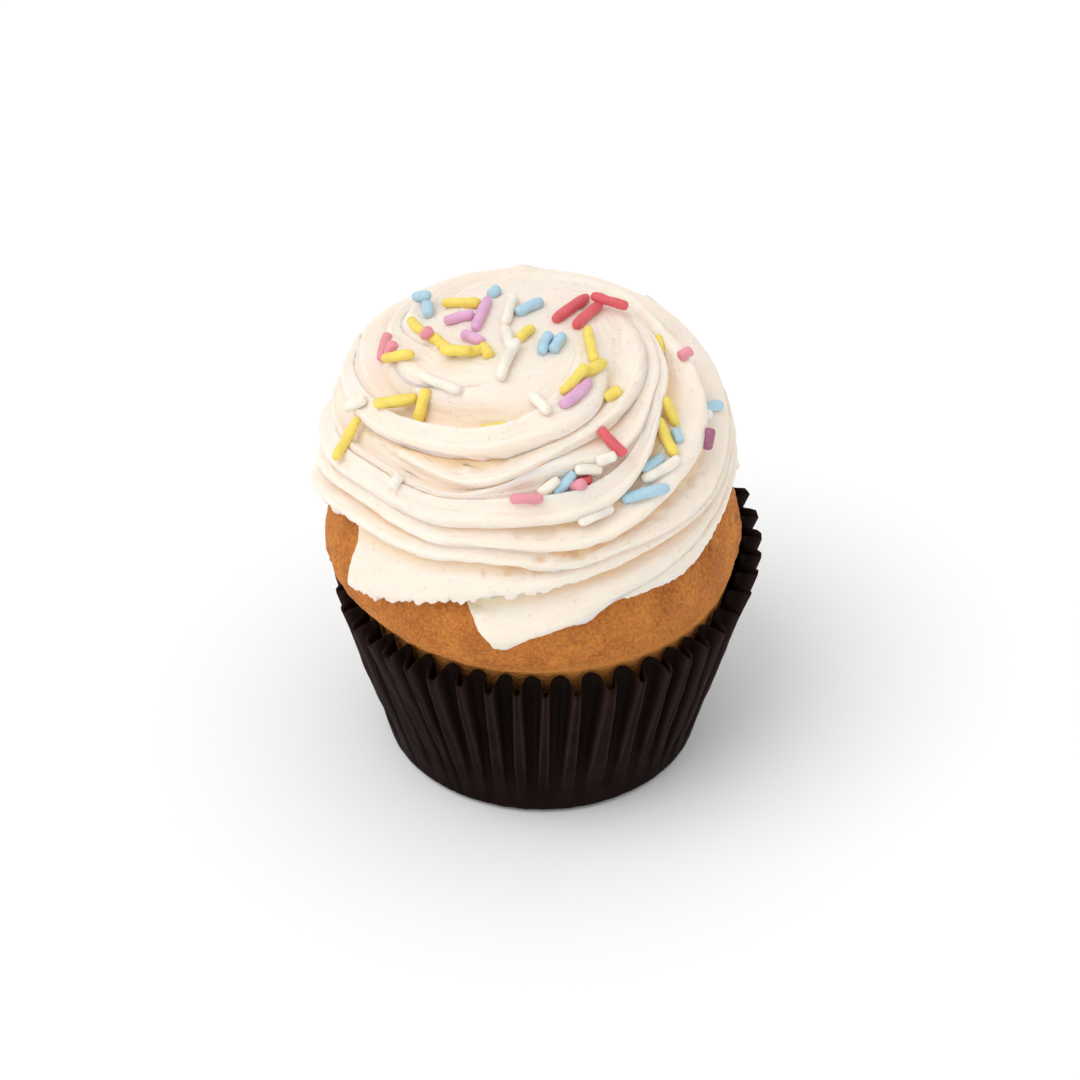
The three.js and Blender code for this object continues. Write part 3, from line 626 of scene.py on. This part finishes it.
# %% Streaks, lumps and tears
STREAKS = [(0.10, 0.8, 0), (0.07, 0.37, 4)]
FLOW = {"along": 7, "across": 6, "ridge": 11}  # streaks are long along a ridge and narrow across it
SOFT = [(0.16, 4.2, 0), (0.07, 1.5, 3), (0.035, 0.7, 8)]
CREASE_DOWN = (0.12, 0.3), (0.45, 0.62)  # shares of the way down in which a crease starts and ends
CREASE_TEARS, PATCH_SIZE, PATCH_EDGE = [(0.7, 1.6, 6), (0.4, 0.8, 2)], 9, (-0.1, 0.5)
across = down * FLOW["across"] + which * FLOW["ridge"]
streaks = relief(np.stack(np.broadcast_arrays(travel / FLOW["along"], across, 0 * climb), axis=-1), STREAKS)
in_crease = ease(down, *CREASE_DOWN[0]) * (1 - ease(down, *CREASE_DOWN[1])) * np.clip(hang_here, 0, 1)
tears = ease(lumps(rings, PATCH_SIZE, 21), *PATCH_EDGE) * in_crease * relief(rings, CREASE_TEARS)
bumps = (1 - 0.6 * at_lip) * np.clip(2 * space, 0.2, 1)  # they are lower on the lips and where it is close
bumps = bumps * (streaks + relief(rings, SOFT) + tears * space + chunks)
rings = push_out(rings, there * bumps)
print("the relief is up to", round(float(np.abs(bumps).max()), 2), "mm")

# %% How deep in a crease each point lies
# The mesh keeps this as a fact of its points, for painted shade: the colour is made warmer and darker there.
# Painted shade: how strongly the creases and the crumbled place are tinted warmer and darker.
shaded = lerp(lip * 0.4, deep, np.clip(under, 0, 1) ** 1.6) * np.sqrt(room)
crease = ease((shaded + 0.6 * (broken - chunks)) / LIP_OVERHANG, 0.1, 0.75)
print("in a crease:", round(100 * float((crease > 0.5).mean())), "in 100 points")

# %% The top, and the skin over all rings
TOP_RINGS = 14


def top_rings(rim):
    """Rings that close the swirl from its last ring in to the middle of the top."""
    share = (np.arange(1, TOP_RINGS) / TOP_RINGS)[:, None, None]
    middle = np.array([SWIRL_X, 0, SWIRL_TOP_Z])
    flat = lerp(rim, middle, share)
    reach = np.linalg.norm((rim - middle)[:, :2], axis=-1).mean()
    radius, z = dome_radius[::-1], dome_z[::-1]
    flat[..., 2] = np.interp(np.hypot(flat[..., 0] - SWIRL_X, flat[..., 1]), radius, z)
    print("the top is", round(2 * float(reach), 1), "mm across")
    return flat


top = top_rings(rings[-1])
rings = np.concatenate([rings, top])
crease = np.concatenate([crease, np.zeros(top.shape[:2])])
swirl = skin(
    "buttercream_swirl", rings, (SWIRL_X, 0, SWIRL_FOOT_Z - SWIRL_BELOW_FOOT), (SWIRL_X, 0, SWIRL_TOP_Z),
    {"crease": crease},
)
print("buttercream", count_faces(swirl), "triangles")

# %% [markdown]
# ### Resting on the sponge
# Soft buttercream takes the shape of what it is piped on. The skin above runs right through the sponge's
# crown, so a slightly larger crown is cut out of it. The two then lie close, and neither is inside the
# other.

# %% Hollowing the swirl
CUTTER_POINTS, CUTTER_SIDES, CUTTER_CROWN = 84, 3, (-1, 0.95, 24)
cutter = skin(
    "cutter", sponge_rings(CUTTER_POINTS, CUTTER_SIDES, np.linspace(*CUTTER_CROWN), FIT_GAP),
    (0, 0, PAPER + FIT_GAP), (CROWN_SHIFT, 0, CROWN_TOP_Z + FIT_GAP),
)
cut = swirl.modifiers.new("hollow", "BOOLEAN")
cut.operation, cut.object, cut.solver = "DIFFERENCE", cutter, "MANIFOLD"
bpy.context.view_layer.update()
shape = bpy.data.meshes.new_from_object(swirl.evaluated_get(bpy.context.evaluated_depsgraph_get()))
swirl.modifiers.clear()
swirl.data = shape
bpy.data.objects.remove(cutter)
print("buttercream, hollowed,", count_faces(swirl), "triangles", [a.name for a in shape.attributes])

# %% [markdown]
# ## Sugar strands
# Short rods of coloured sugar paste, cut while soft, so their ends are blunt and rounded and their sides
# a little wrinkled. Each is dropped on the buttercream from above and comes to rest on what it meets
# first, which may be another strand. One mesh for each colour keeps the scatter easy to recolour.

# %% Where each strand fell
# Each row is azimuth, climb up the dome, heading (0 lies level, 90 points up the dome) and length.
STRAND_ROWS = {
    "blue": [
        (-202, 42, 29, 5), (-210, 40, 71, 4.5), (84, 55.8, 46, 5.4), (-66, 52, 52, 5), (-53, 51.2, 30, 4.5),
        (-10, 25.2, 143, 5), (-34, 27.9, 64, 2.4), (-78, 27.6, 42, 4.6), (-47, 26.4, 3, 4.5),
        (-54, 22.8, 178, 7.7), (122, 49.3, 20, 2.2),
    ],
    "yellow": [
        (-208, 47.5, 99, 6.6), (-182, 42, 30, 5), (-169, 44.3, 27, 4.6), (-153, 45.2, 12, 4.4),
        (-142, 45.6, 37, 5.2), (-135, 48, 66, 2.4), (-128, 49, 152, 3), (-164, 38.4, 46, 7),
        (-148, 34, 53, 7), (-138, 36, 96, 6), (-156, 24, 94, 8), (-93, 55, 57, 4), (-32, 47.5, 40, 8.3),
        (-50, 44, 178, 6), (-64, 43, 25, 6.2), (-104, 37, 14, 5), (-48, 39, 174, 3), (2, 37.4, 15, 3.7),
        (-30, 31.4, 87, 5), (-38, 28.7, 78, 6.6),
    ],
    "lilac": [(-186, 48.5, 110, 5), (-193, 51.8, 0, 9), (-151, 49.6, 26, 4.3), (-66, 41, 27, 7)],
    "red": [
        (25, 51.5, 120, 9.5), (10, 49.5, 141, 8.7), (20, 45.7, 55, 6.2), (-60, 32, 109, 5.7),
        (-72, 27.4, 10, 2.8),
    ],
    "pink": [
        (-168, 43.6, 70, 2.2), (-180, 36, 136, 4.8), (-173, 37.4, 90, 3.3), (-3, 33.8, 139, 2.4),
        (-74, 26.9, 15, 2.6), (-90, 25.7, 0, 5.1),
    ],
    "white": [
        (-134, 40.2, 8, 7.7), (-160, 29, 52, 5), (141, 55.5, 29, 8.2), (-117, 52.5, 128, 7),
        (-104, 48, 85, 8.5), (-84, 40.2, 119, 5), (-16, 25.8, 150, 2.8), (-70, 29, 168, 4.4),
        (-64, 30, 0, 3.3), (-83, 27.2, 34, 4), (-46, 25.1, 5, 7.2), (-70, 21.8, 10, 6.2),
        (-130, 24, 81, 2.6),
    ],
    "mauve": [(-25, 24.2, 58, 3.5)],
}
print("strands laid by hand", sum(len(rows) for rows in STRAND_ROWS.values()))

# %% Strands for the far side, spread by a rule
BACK_STRANDS, GOLDEN_SHARE = 15, 0.618034
BACK_COLOURS = ["yellow", "white", "blue", "pink", "lilac", "red"]
BACK = {"from": 45, "to": 140, "low": 12, "high": 26}
BACK_LENGTHS, BACK_MIX = (4.5, 7), {"length": 5, "heading": 7}
for i in range(BACK_STRANDS):
    share = i * GOLDEN_SHARE % 1
    climb = lerp(BACK["low"], BACK["high"], (i + 0.5) / BACK_STRANDS)
    heading = 180 * (share * BACK_MIX["heading"] % 1)
    length = lerp(*BACK_LENGTHS, share * BACK_MIX["length"] % 1)
    colour = BACK_COLOURS[i % len(BACK_COLOURS)]
    STRAND_ROWS[colour].append((lerp(BACK["from"], BACK["to"], share), climb, heading, length))
print("strands in all", sum(len(rows) for rows in STRAND_ROWS.values()))

# %% Dropping them on the buttercream
STRAND_RADIUS, STRAND_SINK, PROBE = 0.86, 0.35, 10
FEELERS = (-1, -0.5, 0, 0.5, 1)  # where along its half length a strand may touch what it falls on
felt = [BVHTree.FromObject(swirl, bpy.context.evaluated_depsgraph_get())]


def drop(start, inwards):
    """Where something that falls from a point meets the cake first, in mm, or None."""
    hits = [tree.ray_cast(Vector(start * MM), Vector(inwards), 2 * PROBE * MM) for tree in felt]
    met = [(hit[3], hit[0]) for hit in hits if hit[0] is not None]
    return np.array(min(met)[1]) / MM if met else None


def lay(azimuth, climb, heading, length):
    """The middle of a strand that has come to rest, the way it points, and the way out of the dome."""
    _, _, out_r, out_z = dome_at(climb)
    out = polar(out_r, azimuth, out_z)
    level = polar(1.0, azimuth + 90, 0.0)
    turn = math.radians(heading)
    along = level * math.cos(turn) + np.cross(out, level) * math.sin(turn)
    above = dome_point(climb, azimuth) + out * PROBE
    reach = max(length / 2 - STRAND_RADIUS, 0.2)
    starts = [above + along * reach * part for part in FEELERS]
    met = [drop(start, -out) for start in starts]
    met = [start - out * PROBE if hit is None else hit for start, hit in zip(starts, met)]
    lie = met[-1] - met[0]
    lie /= np.linalg.norm(lie)
    centre = (met[0] + met[-1]) / 2
    raised = max(float((hit - centre - lie * ((hit - centre) @ lie)) @ out) for hit in met)
    return centre + out * (max(raised, 0) + STRAND_RADIUS - STRAND_SINK), lie, out


# %% The rod itself
STRAND_SIDES, STRAND_RINGS = 14, 16
BOWS, THICKNESSES = (-0.35, 0.35), (0.92, 1.06)
NEAR_ENDS, BLUNTNESS = 1.35, 9  # how the rings crowd at the ends, and how square the ends are
WRINKLES = [(0.1, 1.3, 0), (0.05, 0.6, 0)]


def make_strand(azimuth, climb, heading, length, random):
    centre, lie, out = lay(azimuth, climb, heading, length)
    side = np.cross(lie, out)
    side /= np.linalg.norm(side)
    upward = np.cross(side, lie)
    bow, width = random.uniform(*BOWS, 2), random.uniform(*THICKNESSES)
    t = np.linspace(-1, 1, STRAND_RINGS)[1:-1]
    spot = np.sign(t) * (1 - (1 - np.abs(t)) ** NEAR_ENDS)
    blunt = (1 - np.abs(spot) ** BLUNTNESS) ** 0.5
    angle = np.arange(STRAND_SIDES) / STRAND_SIDES * 2 * math.pi
    radius = STRAND_RADIUS * width * blunt[:, None] * np.ones_like(angle)
    spine = centre + np.outer(spot * length / 2, lie)
    spine += np.outer(1 - spot**2, side * bow[0] + upward * abs(bow[1]) * 0.5) * length / 9
    circle = np.cos(angle)[:, None] * side + np.sin(angle)[:, None] * upward
    rings = spine[:, None, :] + radius[..., None] * circle
    rings = rings + circle * relief(rings, WRINKLES)[..., None] * blunt[:, None, None]
    return rings, [centre - lie * length / 2, centre + lie * length / 2]


def join(name, pieces):
    """One mesh object from several."""
    bpy.ops.object.select_all(action="DESELECT")
    for piece in pieces:
        piece.select_set(True)
    bpy.context.view_layer.objects.active = pieces[0]
    if len(pieces) > 1:
        bpy.ops.object.join()
    pieces[0].name = pieces[0].data.name = name
    return pieces[0]


# %% One mesh for each colour
strands = {}
random = np.random.default_rng(3)
for colour, rows in STRAND_ROWS.items():
    laid = []
    for row in rows:
        rings, ends = make_strand(*row, random)
        laid.append(skin("strand", rings, *ends))
        felt.append(BVHTree.FromObject(laid[-1], bpy.context.evaluated_depsgraph_get()))
    strands[colour] = join("strands_" + colour, laid)
    print(colour, "strands:", len(rows), "with", count_faces(strands[colour]), "triangles")

# %% [markdown]
# ## Finishes
# All four finishes are food or paper, so none of them is one flat colour: each has a fine grain that
# breaks up the light and a slow drift of colour. Both come from one shader node group, placed in each
# material with its own sizes and tints.

# %% Helpers that place nodes


def place(tree, kind, inputs=None, **settings):
    """Adds a node. An input may be a value or another node's socket."""
    node = tree.nodes.new(kind)
    for name, value in settings.items():
        setattr(node, name, value)
    for name, value in (inputs or {}).items():
        if isinstance(value, bpy.types.NodeSocket):
            tree.links.new(value, node.inputs[name])
        else:
            node.inputs[name].default_value = value
    return node


def mix_colours(tree, share, low, high):
    node = place(tree, "ShaderNodeMix", data_type="RGBA")
    for socket, value in ((node.inputs[0], share), (node.inputs[6], low), (node.inputs[7], high)):
        if isinstance(value, bpy.types.NodeSocket):
            tree.links.new(value, socket)
        else:
            socket.default_value = value if isinstance(value, float) else (*value, 1)
    return node.outputs[2]


def calculate(tree, operation, *values, clamp=False):
    node = place(tree, "ShaderNodeMath", operation=operation, use_clamp=clamp)
    for socket, value in zip(node.inputs, values):
        if isinstance(value, bpy.types.NodeSocket):
            tree.links.new(value, socket)
        else:
            socket.default_value = value
    return node.outputs[0]


# %% The shared grain
def make_grain():
    """A group that turns a position into a grained colour and a height."""
    group = bpy.data.node_groups.new("Grain", "ShaderNodeTree")
    sockets = group.interface
    for name, kind in (
        ("Position", "NodeSocketVector"), ("Grain size", "NodeSocketFloat"),
        ("Drift size", "NodeSocketFloat"), ("Pit size", "NodeSocketFloat"), ("Pit share", "NodeSocketFloat"),
        ("Grain share", "NodeSocketFloat"), ("Light", "NodeSocketColor"), ("Dark", "NodeSocketColor"),
        ("Pit", "NodeSocketColor"),
    ):
        sockets.new_socket(name, in_out="INPUT", socket_type=kind)
    for name, kind in (
        ("Colour", "NodeSocketColor"), ("Height", "NodeSocketFloat"), ("Pits", "NodeSocketFloat"),
        ("Drift", "NodeSocketFloat"),
    ):
        sockets.new_socket(name, in_out="OUTPUT", socket_type=kind)
    given = group.nodes.new("NodeGroupInput").outputs
    result = group.nodes.new("NodeGroupOutput").inputs

    def noise(size, detail):
        scale = calculate(group, "DIVIDE", 1.0, size)
        inputs = {"Vector": given["Position"], "Scale": scale, "Detail": detail}
        return place(group, "ShaderNodeTexNoise", inputs).outputs["Fac"]

    grain = noise(given["Grain size"], 3.0)
    drift = noise(given["Drift size"], 2.0)
    scale = calculate(group, "DIVIDE", 1.0, given["Pit size"])
    cells = place(group, "ShaderNodeTexVoronoi", {"Vector": given["Position"], "Scale": scale})
    near = calculate(group, "SUBTRACT", 0.34, cells.outputs["Distance"], clamp=True)
    some = place(group, "ShaderNodeSeparateColor", {"Color": cells.outputs["Color"]}).outputs[0]
    chosen = calculate(group, "LESS_THAN", some, given["Pit share"])
    pits = calculate(group, "MULTIPLY", calculate(group, "MULTIPLY", near, 2.9), chosen)
    coarse = calculate(group, "SUBTRACT", 1.0, given["Grain share"])
    fine = calculate(group, "MULTIPLY", grain, given["Grain share"])
    tint = calculate(group, "MULTIPLY_ADD", drift, coarse, fine)
    spread = place(group, "ShaderNodeMapRange", {"Value": tint, "From Min": 0.36, "From Max": 0.64})
    colour = mix_colours(group, spread.outputs[0], given["Dark"], given["Light"])
    colour = mix_colours(group, pits, colour, given["Pit"])
    height = calculate(group, "SUBTRACT", grain, calculate(group, "MULTIPLY", pits, 1.5))
    for name, socket in (("Colour", colour), ("Height", height), ("Pits", pits), ("Drift", drift)):
        group.links.new(socket, result[name])
    return group


grain_group = make_grain()
print("the shared grain has", len(grain_group.nodes), "nodes")

# %% A finish that uses the grain


def new_finish(name, sizes, light, dark, pit, rough, raised):
    """A material with the shared grain in its colour and its bump. sizes are in mm: the grain, the
    drift and the pits, then the share of the places that have a pit and the grain's share of the tint.
    raised is how high the grain stands, in mm."""
    material = bpy.data.materials.new(name)
    material.use_nodes = True
    tree = material.node_tree
    shader = tree.nodes["Principled BSDF"]
    where = place(tree, "ShaderNodeTexCoord").outputs["Object"]
    grain = place(tree, "ShaderNodeGroup", node_tree=grain_group)
    tree.links.new(where, grain.inputs["Position"])
    for key, value in zip(("Grain size", "Drift size", "Pit size"), sizes):
        grain.inputs[key].default_value = value * MM
    grain.inputs["Pit share"].default_value, grain.inputs["Grain share"].default_value = sizes[3:]
    for key, value in (("Light", light), ("Dark", dark), ("Pit", pit)):
        grain.inputs[key].default_value = (*value, 1)
    bump = place(tree, "ShaderNodeBump", {"Height": grain.outputs["Height"], "Distance": raised * MM})
    tree.links.new(bump.outputs[0], shader.inputs["Normal"])
    tree.links.new(grain.outputs["Colour"], shader.inputs["Base Color"])
    shader.inputs["Roughness"].default_value = rough
    return material, tree, shader, grain


# %% Dressing a piece


def dress(piece, material, node):
    """Gives a piece its finish, attaches it to the root and hides the part of the plain model that it stands
    for.
    """
    piece.data.materials.clear()
    piece.data.materials.append(material)
    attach(piece, "root")
    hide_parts(node)
    print(piece.name, "wears", material.name)


# %% [markdown]
# ### Dark greaseproof paper
# Nearly black brown. Painted shade darkens the recesses between its folds, and a painted highlight
# lightens the folds' edges for the faint gloss that they catch. A low specular level keeps the sky's
# reflection from greying it.

# %% Paper
paper, tree, shader, grain = new_finish(
    "dark_paper", (0.35, 5, 1.2, 0, 0.3), (0.016, 0.0078, 0.0066), (0.008, 0.0042, 0.0034), (0, 0, 0),
    0.5, 0.05,
)
# Painted shade: the recesses between the pleats are coloured darker where shade falls in them.
painted_recess_shade = place(tree, "ShaderNodeAttribute", attribute_name="painted_recess_shade").outputs["Fac"]
colour = mix_colours(tree, painted_recess_shade, grain.outputs["Colour"], (0.009, 0.0052, 0.0045))
# Painted highlight: the folds' edges are coloured lighter where they catch the light.
painted_fold_highlight = place(tree, "ShaderNodeAttribute", attribute_name="painted_fold_highlight").outputs["Fac"]
painted_fold_highlight = calculate(tree, "MULTIPLY", painted_fold_highlight, 0.5)
tree.links.new(mix_colours(tree, painted_fold_highlight, colour, (0.052, 0.03, 0.027)), shader.inputs["Base Color"])
shader.inputs["Specular IOR Level"].default_value = 0.01
dress(case, paper, "paper_case")

# %% [markdown]
# ### Baked sponge
# The skin is golden brown where the crumb stands proud, with painted shade in its burst bubbles, painted
# light just above the paper and bright specks painted as glints.

# %% Sponge
# The pit colour paints bright specks on the crumb, standing in for glints of light.
crumb, tree, shader, grain = new_finish(
    "baked_crumb", (0.55, 6, 0.9, 0.16, 0.6), (0.64, 0.235, 0.042), (0.38, 0.112, 0.016), (0.85, 0.42, 0.13),
    0.8, 0.35,
)
# Painted shade: the burst bubbles are coloured darker where shade falls in them.
painted_bubble_shade = place(tree, "ShaderNodeAttribute", attribute_name="painted_bubble_shade").outputs["Fac"]
colour = mix_colours(tree, painted_bubble_shade, grain.outputs["Colour"], (0.22, 0.07, 0.015))
# Painted light: a lighter orange just above the paper lifts the shade where the crown tucks in over the rim.
low = place(tree, "ShaderNodeAttribute", attribute_name="low").outputs["Fac"]
colour = mix_colours(tree, calculate(tree, "MULTIPLY", low, 0.6), colour, (0.88, 0.34, 0.075))
tree.links.new(colour, shader.inputs["Base Color"])
shader.inputs["Specular IOR Level"].default_value = 0.3
shader.inputs["Subsurface Weight"].default_value = 0.15
shader.inputs["Subsurface Radius"].default_value = (1.0, 0.4, 0.15)
shader.inputs["Subsurface Scale"].default_value = 1.5 * MM
dress(sponge, crumb, "sponge")

# %% [markdown]
# ### Buttercream
# Butter and sugar beaten full of air: light goes in, scatters and comes out warmer, most of all in the
# creases, where little light that hasn't passed through some of it arrives. The creases also get painted
# shade, a warmer and darker colour.

# %% Buttercream
cream, tree, shader, grain = new_finish(
    "buttercream", (0.3, 8, 1.0, 0.22, 0.3), (0.94, 0.83, 0.73), (0.92, 0.79, 0.68), (0.88, 0.72, 0.58),
    0.5, 0.09,
)
# Painted shade: the creases and the crumbled place are coloured warmer and darker, where shade falls.
inside = place(tree, "ShaderNodeAttribute", attribute_name="crease").outputs["Fac"]
colour = mix_colours(tree, inside, grain.outputs["Colour"], (0.95, 0.63, 0.30))
tree.links.new(colour, shader.inputs["Base Color"])
shader.inputs["Subsurface Weight"].default_value = 0.6
shader.inputs["Subsurface Radius"].default_value = (1.0, 0.6, 0.35)
shader.inputs["Subsurface Scale"].default_value = 3 * MM
dress(swirl, cream, "buttercream")

# %% [markdown]
# ### Sugar
# Sugar paste is matt and slightly see-through, so a little light passes under its surface. Each colour is
# a finish of its own, and all of them share the same fine grain.

# %% Sugar
SUGARS = {
    "blue": (0.46, 0.69, 0.82), "yellow": (0.94, 0.74, 0.14), "lilac": (0.80, 0.45, 0.68),
    "red": (0.77, 0.12, 0.14), "pink": (0.84, 0.33, 0.39), "white": (0.95, 0.89, 0.78),
    "mauve": (0.38, 0.13, 0.22),
}
for colour, light in SUGARS.items():
    dark = tuple(value * 0.85 for value in light)
    speck = tuple(value * 0.8 + 0.2 for value in light)
    sugar, tree, shader, grain = new_finish(
        "sugar_" + colour, (0.25, 2, 0.5, 0.2, 0.3), light, dark, speck, 0.5, 0.06,
    )
    shader.inputs["Subsurface Weight"].default_value = 0.2
    shader.inputs["Subsurface Radius"].default_value = (1.0, 0.8, 0.7)
    shader.inputs["Subsurface Scale"].default_value = 0.6 * MM
    dress(strands[colour], sugar, "buttercream")

# %% [markdown]
# ## Floor and light
# A pale table in a bright room: an even white sky for the fill, and one broad soft light from the upper
# left, in front of the cake, for the shapes.

# %% Floor
FLOOR_SIDE = 3
corners = [(-FLOOR_SIDE, -FLOOR_SIDE, 0), (FLOOR_SIDE, -FLOOR_SIDE, 0),
           (FLOOR_SIDE, FLOOR_SIDE, 0), (-FLOOR_SIDE, FLOOR_SIDE, 0)]
floor_mesh = bpy.data.meshes.new("floor")
floor_mesh.from_pydata(corners, [], [(0, 1, 2, 3)])
floor = bpy.data.objects.new("floor", floor_mesh)
bpy.context.scene.collection.objects.link(floor)
pale = bpy.data.materials.new("pale_table")
pale.use_nodes = True
settings = pale.node_tree.nodes["Principled BSDF"].inputs
settings["Base Color"].default_value = (0.98, 0.98, 0.98, 1)
settings["Roughness"].default_value = 0.9
floor_mesh.materials.append(pale)
print("the floor is", 2 * FLOOR_SIDE, "metres wide")

# %% Light
SKY_STRENGTH, SUN_STRENGTH, SUN_BREADTH = 0.82, 1.08, 45
SUN_WAY = (0.5, 0.3, -0.9)  # the way its light travels
world = bpy.data.worlds.new("sky")
bpy.context.scene.world = world
world.use_nodes = True
settings = world.node_tree.nodes["Background"].inputs
settings["Color"].default_value = (1, 1, 1, 1)
settings["Strength"].default_value = SKY_STRENGTH
key = bpy.data.lights.new("key", "SUN")
key.energy, key.angle = SUN_STRENGTH, math.radians(SUN_BREADTH)
lamp = bpy.data.objects.new("key", key)
lamp.rotation_euler = Vector(SUN_WAY).to_track_quat("-Z", "Y").to_euler()
bpy.context.scene.collection.objects.link(lamp)
bpy.context.scene.view_settings.view_transform = "Standard"
